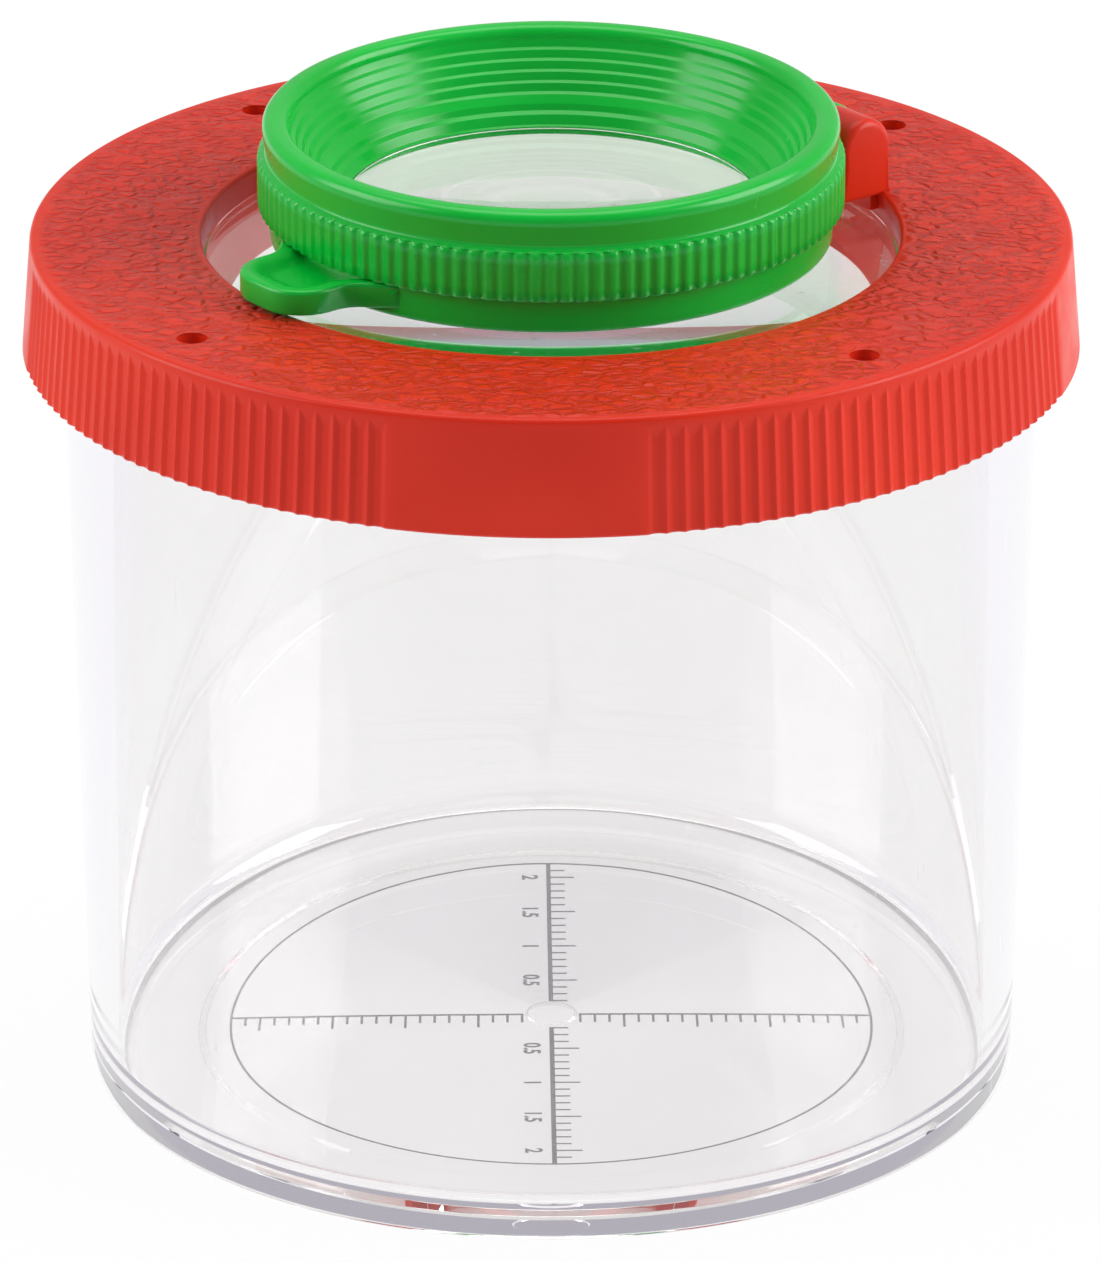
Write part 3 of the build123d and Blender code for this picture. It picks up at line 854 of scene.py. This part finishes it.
def makeCollar():
    # wall round the lens, with snap beads under the lens's flange
    plateBottom = lid["height"] - lid["plate"]
    low = plateBottom - lid["collarDepth"]
    high = plateBottom + overlap
    inner = lid["collarInner"]
    outer = inner + lid["collarWall"]
    soft = lid["collarRound"]
    outline = roundCorners([(inner, low, soft), (outer, low, soft), (outer, high, 0), (inner, high, 0)], 3)
    pieces = [turnedMesh("collar", rings(outline, 180))]
    beadTop = plateBottom - lid["beadDrop"]
    for index in range(lid["beadCount"]):
        middle = (index + 0.5) * 360 / lid["beadCount"]
        pieces.append(wedgeMesh(
            "bead", inner - lid["beadReach"], inner + lid["beadRoot"], beadTop - lid["beadHigh"], beadTop,
            middle, lid["beadWide"],
        ))
    return pieces


def makeLid():
    turns = skirtTurns()
    body = turnedMesh("lidBody", lidRings(len(turns)), band="band", turns=turns)
    fluteRule().run(body, {
        "Pitch": radians((360 / lid["padCount"] - lid["padWide"]) / lid["grooves"]),
        "Depth": lid["grooveDepth"] * mm, "Pad span": 2 * pi / lid["padCount"],
        "Pad half": radians(lid["padWide"] / 2), "Pad turn": radians(lid["padTurn"]),
        "Crest": lid["crest"], "Floor": lid["floor"], "Low": lid["runOutLow"] * mm,
        "High": lid["runOutHigh"] * mm, "Material": paints["red"],
    })
    vents = []
    for index in range(lid["ventCount"]):
        turn = radians(lid["ventTurn"] + index * 360 / lid["ventCount"])
        x, y = lid["ventCircle"] * cos(turn), lid["ventCircle"] * sin(turn)
        below, above = lid["height"] - lid["plate"] - 1, lid["height"] + 1
        vents.append(drill("vent", lid["ventRadius"], (x, y, below), (x, y, above)))
    cutAway(body, vents)
    moulding = joined("lidMoulding", [body] + makeLug(-1) + makeLug(1) + makeGrips() + makeCollar())
    turnShape(moulding, hingeTurn)
    shadeByAngle(moulding, 38)
    paintWith(moulding, "red")
    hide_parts("lid")
    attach(moulding, "lid_body")
    print("lid moulded:", len(moulding.data.polygons), "faces")


makeLid()


# Lid lens and hinge pin

lidLens = {
    "radius": 24.6, "top": 56.95, "flange": 1.2, "edgeRound": 0.15,
    "shoulderRadius": 22.7, "shoulder": 0.15, "shoulderRun": 0.2, "shoulderFoot": 0.1, "shoulderRound": 0.25,
    "topCurve": 400.0, "bottomCurve": 500.0, "bellyRadius": 22.4, "segments": 256,
}
hingePin = {"radius": 0.75, "openEnd": 8.2, "blindEnd": -7.15, "segments": 64}


def makeLidLens():
    keys = ("radius", "top", "bellyRadius", "shoulderRadius", "edgeRound")
    radius, top, belly, inner, soft = (lidLens[key] for key in keys)
    low = top - lidLens["flange"]
    high = top + lidLens["shoulder"]
    upper = capArc(inner, high, lidLens["topCurve"])
    lower = capArc(belly, low, lidLens["bottomCurve"], down=True)
    rim = roundCorners([
        (belly, low, 0), (radius, low, soft), (radius, top, soft),
        (inner + lidLens["shoulderRun"], top, lidLens["shoulderFoot"]),
        (inner, high, lidLens["shoulderRound"]), (0, high, 0), (0, low, 0),
    ], 4)[:-2]
    outline = rim + upper[1:] + lower[::-1][:-1]
    lens = turnedMesh("lidLens", rings(outline, lidLens["segments"]))
    shadeByAngle(lens, 30)
    paintWith(lens, "lens")
    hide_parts("lid_lens")
    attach(lens, "lid_body")


def makePin():
    ends = [(pivotReach, hingePin[end], pivot.z) for end in ("openEnd", "blindEnd")]
    pin = drill("hingePin", hingePin["radius"], *ends, hingePin["segments"])
    turnShape(pin, hingeTurn)
    shadeByAngle(pin)
    paintWith(pin, "steel")
    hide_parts("hinge_pin")
    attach(pin, "lid_body")


makeLidLens()
makePin()
print("lid lens and pin in place")


# Magnifier frame

ring = {
    "bottom": 58.5, "radius": 18.5, "bore": 14.2, "band": 2.4, "footRound": 0.35,
    "topRound": 0.15, "edgeRound": 0.2, "neckRadius": 17.3, "neckHigh": 1.5, "seat": 0.85, "lensSeat": 15.9,
    "segments": 256,
}
tab = {
    "reach": 24.3, "wide": 7.6, "endRound": 2.9, "rootRound": 2.4, "nearShare": 0.55, "farShare": 0.95,
    "low": 59.1, "thick": 1.75, "edge": 0.3, "edgeSteps": 6,
    "rim": 0.75, "dish": 0.55, "dishRun": 1.5, "dishSteps": 8, "rootIn": 1.6,
}
knuckle = {
    "radius": 1.45, "half": 4.4, "bevel": 0.25, "lift": 0.1, "heelWide": 0.6, "heelHigh": 0.5,
    "rootIn": 0.9, "below": 0.1, "steps": 16,
}


def makeRing():
    top = ring["bottom"] + ring["band"]
    neckTop = top + ring["neckHigh"]
    seat = ring["bottom"] + ring["seat"]
    soft = ring["edgeRound"]
    outline = roundCorners([
        (ring["bore"], ring["bottom"], soft), (ring["radius"], ring["bottom"], ring["footRound"]),
        (ring["radius"], top, ring["topRound"]), (ring["neckRadius"], top, 0),
        (ring["neckRadius"], neckTop, soft), (ring["lensSeat"], neckTop, soft),
        (ring["lensSeat"], seat, 0), (ring["bore"], seat, soft),
    ], 6)
    return turnedMesh("ring", rings(outline, ring["segments"]))


def makeTab():
    # thumb tab with flared roots, a soft raised edge and a dished top
    reach, low, edge, soft = (tab[key] for key in ("reach", "low", "edge", "rootRound"))
    half = tab["wide"] / 2
    flare = half + soft
    root = -sqrt(ring["radius"] ** 2 - flare ** 2)
    inside = root + tab["rootIn"]
    nearRound = soft * tab["nearShare"]
    farRound = soft * tab["farShare"]
    outline = roundCorners([
        (inside, flare, 0), (root, flare, nearRound), (root - soft, half, farRound),
        (-reach, half, tab["endRound"]), (-reach, -half, tab["endRound"]),
        (root - soft, -half, farRound), (root, -flare, nearRound), (inside, -flare, 0),
    ], 12)
    top = low + tab["thick"]
    levels = [(edge, low), (edge * 0.3, low + edge * 0.3), (0, low + edge)]
    for step in range(tab["edgeSteps"] + 1):
        turn = pi / 2 * step / tab["edgeSteps"]
        levels.append((edge * (1 - cos(turn)), top - edge * (1 - sin(turn))))
    for step in range(1, tab["dishSteps"] + 1):
        share = step / tab["dishSteps"]
        drop = tab["dish"] * (0.5 - 0.5 * cos(pi * share))
        levels.append((tab["rim"] + tab["dishRun"] * share, top - drop))
    shape = bmesh.new()
    loops = []
    for inset, height in levels:
        points = insetLoop(outline, inset)
        loops.append([shape.verts.new((point.x * mm, point.y * mm, height * mm)) for point in points])
    skinLoops(shape, loops)
    return finishedObject("tab", shape)


def makeKnuckle():
    # barrel round the pin, with an arm that reaches into the ring
    back = pivotReach + knuckle["radius"]
    front = pivotReach - knuckle["radius"]
    low = ring["bottom"] + knuckle["lift"]
    high = ring["bottom"] + ring["band"] - knuckle["below"]
    root = ring["radius"] - knuckle["rootIn"]
    outline = []
    for step in range(knuckle["steps"] + 1):
        turn = pi - pi * step / knuckle["steps"]
        outline.append((pivotReach + knuckle["radius"] * cos(turn), pivot.z + knuckle["radius"] * sin(turn)))
    outline += [(back, low + knuckle["heelHigh"]), (back - knuckle["heelWide"], low), (root, low)]
    outline += [(root, high), (front, high)]
    return prismMesh("knuckle", outline, -knuckle["half"], knuckle["half"], knuckle["bevel"])


def makeFrame():
    whole = joined("magnifierFrame", [makeRing(), makeTab(), makeKnuckle()])
    turnShape(whole, hingeTurn)
    shadeByAngle(whole, 38)
    paintWith(whole, "green")
    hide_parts("magnifier_frame")
    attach(whole, "magnifier_body")


makeFrame()
print("magnifier frame made")


# Eyepiece and its lens

eyepiece = {
    "low": 60.95, "knurlRadius": 19.3, "knurlDepth": 0.16, "knurlHigh": 3.3, "knurlCount": 120,
    "knurlChamfer": 0.25, "knurlEase": 0.08, "footEase": 0.06, "rootEase": 0.02, "crest": 0.08, "root": 0.46,
    "knurlSegments": 1440, "segments": 288,
    "waistRadius": 18.72, "waistRise": 0.2, "waistRound": 0.25, "lipRound": 0.6, "lipDrop": 0.2,
    "lipRadius": 18.95, "lipInner": 17.2, "top": 66.8, "rimRound": 0.65,
    "stepCount": 5, "stepDepth": 0.18, "wallShare": 0.8, "edgeRound": 0.08, "footRound": 0.1,
    "dishRadius": 15.05, "dishHeight": 62.8, "dishRound": 0.3,
    "ridges": ((14.55, 62.3, 0.1), (14.4, 61.9, 0.15), (14.05, 61.7, 0.1), (13.8, 61.1, 0.1)),
    "mouth": 13.6, "mouthHeight": 60.97, "mouthRound": 0.03, "mouthFlare": 0.3, "pressFace": 60.65,
    "grooveRadius": 17.4, "grooveTop": 62.5, "lensSeat": 15.7,
}
eyeLens = {
    "radius": 15.8, "bottom": 59.4, "edge": 1.2, "shoulder": 0.35, "curve": 130.0, "dome": 13.5,
    "segments": 256,
}


def knurlRule():
    # rounded ribs with flat valleys round the eyepiece
    rule = Rule("eyepieceKnurl", ["Pitch", "Depth", "Crest", "Root"])
    angle = rule.angleAndHeight()[0]
    share = rule.math("ABSOLUTE", rule.fromNearest(rule.math("DIVIDE", angle, rule.size("Pitch"))))
    valley = rule.ramp(share, rule.size("Crest"), rule.size("Root"))
    rule.pushRing(rule.times(rule.times(valley, rule.size("Depth")), -1.0))
    return rule


def funnelSteps():
    # each step is a steep wall down to a foot, from where a narrow tread runs in to the next edge
    top = eyepiece["top"] - eyepiece["rimRound"] - eyepiece["stepDepth"]
    run = eyepiece["dishRadius"] - eyepiece["lipInner"]
    fall = eyepiece["dishHeight"] - top
    edge = (0, 0, eyepiece["edgeRound"])
    foot = (eyepiece["wallShare"], eyepiece["stepDepth"], eyepiece["footRound"])
    steps = []
    for step in range(eyepiece["stepCount"]):
        for ahead, depth, soft in (edge, foot):
            share = (step + ahead) / eyepiece["stepCount"]
            steps.append((eyepiece["lipInner"] + run * share + depth, top + fall * share, soft))
    return steps


def makeEyepiece():
    many = eyepiece["knurlSegments"]
    low = eyepiece["low"]
    high = low + eyepiece["knurlHigh"]
    crest = eyepiece["knurlRadius"]
    root = crest - eyepiece["knurlDepth"]
    ease = eyepiece["knurlEase"]
    top, soft, lip, press = (eyepiece[key] for key in ("top", "rimRound", "lipRadius", "pressFace"))
    seat, groove, grooveTop = (eyepiece[key] for key in ("lensSeat", "grooveRadius", "grooveTop"))
    heights = [low + ease] + [low + eyepiece["knurlHigh"] * share for share in (0.25, 0.5, 0.75)]
    heights.append(high - eyepiece["knurlChamfer"])
    knurl = [(crest - eyepiece["footEase"], low, many, True)]
    knurl += [(crest, height, many, True) for height in heights]
    knurl += [(crest - ease, high - ease, many, True), (root - eyepiece["rootEase"], high, many, False)]
    upper = roundCorners([
        (eyepiece["waistRadius"], high + eyepiece["waistRise"], eyepiece["waistRound"]),
        (lip, top - soft - eyepiece["lipDrop"], eyepiece["lipRound"]),
        (lip, top, soft), (eyepiece["lipInner"], top, soft),
    ] + funnelSteps() + [
        (eyepiece["dishRadius"], eyepiece["dishHeight"], eyepiece["dishRound"]), *eyepiece["ridges"],
        (eyepiece["mouth"], eyepiece["mouthHeight"], eyepiece["mouthRound"]),
        (eyepiece["mouth"] + eyepiece["mouthFlare"], press, 0), (seat, press, 0), (seat, grooveTop, 0),
        (groove, grooveTop, 0), (groove, low, 0), (root, low, 0), (root, high, 0),
    ], 5)[:-2]
    body = turnedMesh("eyepieceRing", knurl + rings(upper, eyepiece["segments"]), band="band")
    knurlRule().run(body, {
        "Pitch": 2 * pi / eyepiece["knurlCount"], "Depth": eyepiece["knurlDepth"] * mm,
        "Crest": eyepiece["crest"], "Root": eyepiece["root"], "Material": paints["green"],
    })
    turnShape(body, hingeTurn)
    shadeByAngle(body, 38)
    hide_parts("eyepiece")
    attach(body, "magnifier_body")


def makeEyeLens():
    edgeTop = eyeLens["bottom"] + eyeLens["edge"]
    rim = roundCorners([
        (0, eyeLens["bottom"], 0), (eyeLens["radius"], eyeLens["bottom"], 0.15),
        (eyeLens["radius"], edgeTop, 0.15), (eyeLens["dome"], edgeTop, 0),
    ], 4)
    dome = capArc(eyeLens["dome"], edgeTop + eyeLens["shoulder"], eyeLens["curve"])
    lens = turnedMesh("eyeLens", rings(rim + dome, eyeLens["segments"]))
    shadeByAngle(lens, 30)
    paintWith(lens, "lens")
    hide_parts("eyepiece_lens")
    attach(lens, "magnifier_body")


makeEyepiece()
makeEyeLens()
print("eyepiece and lens made")


# Floor, light and camera, in metres

studio = {
    "floorSize": 3.0, "floorDrop": 0.0001, "floorColour": (0.86, 0.855, 0.85, 1), "floorGlow": 0.9,
    "roomColour": (1.0, 0.99, 0.98, 1), "roomFront": 0.33, "roomBack": 0.5,
    "shownFront": 0.16, "shownBack": 0.5, "glassView": 0.915,
    "lamps": {
        "leftBox": ((-0.75, -0.1, 0.45), 0.6, 4.7),
        "rightBox": ((0.75, -0.05, 0.42), 0.6, 6.2),
        "topBox": ((0.0, 0.25, 0.95), 0.7, 3.3),
    },
    "aim": (0.0, 0.0, 0.04),
    "cameraPlace": (0.0, -0.6348, 0.2963), "cameraPitch": 67.25, "lens": 293.7, "shift": -0.0009,
}


class Stage(Wiring):
    # a world's or the floor's tree: through marks what the camera sees, straight or through glass,
    # and shown marks that and what a gloss reflects

    def __init__(self, holder):
        holder.use_nodes = True
        self.tree = holder.node_tree
        path = self.add("ShaderNodeLightPath")
        glass = self.times(path.outputs["Is Transmission Ray"], studio["glassView"])
        self.through = self.math("MAXIMUM", path.outputs["Is Camera Ray"], glass)
        self.shown = self.math("MAXIMUM", self.through, path.outputs["Is Glossy Ray"])


def makeFloor():
    # a hair below the jar's foot, so that the two faces never meet
    shape = bmesh.new()
    bmesh.ops.create_grid(shape, x_segments=2, y_segments=2, size=studio["floorSize"])
    floor = finishedObject("floor", shape)
    floor.location.z = -studio["floorDrop"]
    paint = bpy.data.materials.new("paleFloor")
    stage = Stage(paint)
    surface = stage.tree.nodes["Principled BSDF"]
    surface.inputs["Base Color"].default_value = studio["floorColour"]
    surface.inputs["Roughness"].default_value = 0.9
    glow = stage.add("ShaderNodeEmission", {"Color": (1, 1, 1, 1), "Strength": 1.0})
    mix = stage.add("ShaderNodeMixShader", {0: stage.times(stage.shown, studio["floorGlow"])})
    stage.feed(mix.inputs[1], surface.outputs[0])
    stage.feed(mix.inputs[2], glow.outputs[0])
    stage.feed(stage.tree.nodes["Material Output"].inputs["Surface"], mix.outputs[0])
    floor.data.materials.append(paint)


def makeRoom():
    # darker on the camera's side, as a studio is in front of its backdrop
    room = bpy.data.worlds.new("studio")
    bpy.context.scene.world = room
    stage = Stage(room)
    towards = stage.add("ShaderNodeTexCoord").outputs["Generated"]
    back = stage.ramp(stage.split(towards)["Y"], -0.7, 0.5)
    lit = stage.ramp(back, 0.0, 1.0, studio["roomFront"], studio["roomBack"])
    shown = stage.ramp(back, 0.0, 1.0, studio["shownFront"], studio["shownBack"])
    seen = stage.math("MAXIMUM", stage.through, stage.times(stage.shown, shown))
    plain = stage.times(stage.math("SUBTRACT", 1.0, stage.shown), lit)
    light = stage.tree.nodes["Background"]
    light.inputs["Color"].default_value = studio["roomColour"]
    stage.feed(light.inputs["Strength"], stage.math("ADD", seen, plain))


def makeLamps():
    for name, (place, size, power) in studio["lamps"].items():
        light = bpy.data.lights.new(name, "AREA")
        light.shape = "SQUARE"
        light.size = size
        light.energy = power
        lamp = bpy.data.objects.new(name, light)
        lamp.location = place
        aim = Vector(studio["aim"]) - Vector(place)
        lamp.rotation_euler = aim.to_track_quat("-Z", "Y").to_euler()
        bpy.context.collection.objects.link(lamp)


def makeCamera():
    lens = bpy.data.cameras.new("camera")
    lens.lens = studio["lens"]
    lens.sensor_width = 36.0
    lens.shift_x = studio["shift"]
    camera = bpy.data.objects.new("camera", lens)
    camera.location = studio["cameraPlace"]
    camera.rotation_euler = (radians(studio["cameraPitch"]), 0, 0)
    bpy.context.collection.objects.link(camera)
    bpy.context.scene.camera = camera


makeFloor()
makeRoom()
makeLamps()
makeCamera()
scene = bpy.context.scene
scene.view_settings.view_transform = "Standard"
scene.cycles.max_bounces = 16
scene.cycles.glossy_bounces = 12
scene.cycles.transmission_bounces = 16
scene.cycles.transparent_max_bounces = 24
print("studio lit")
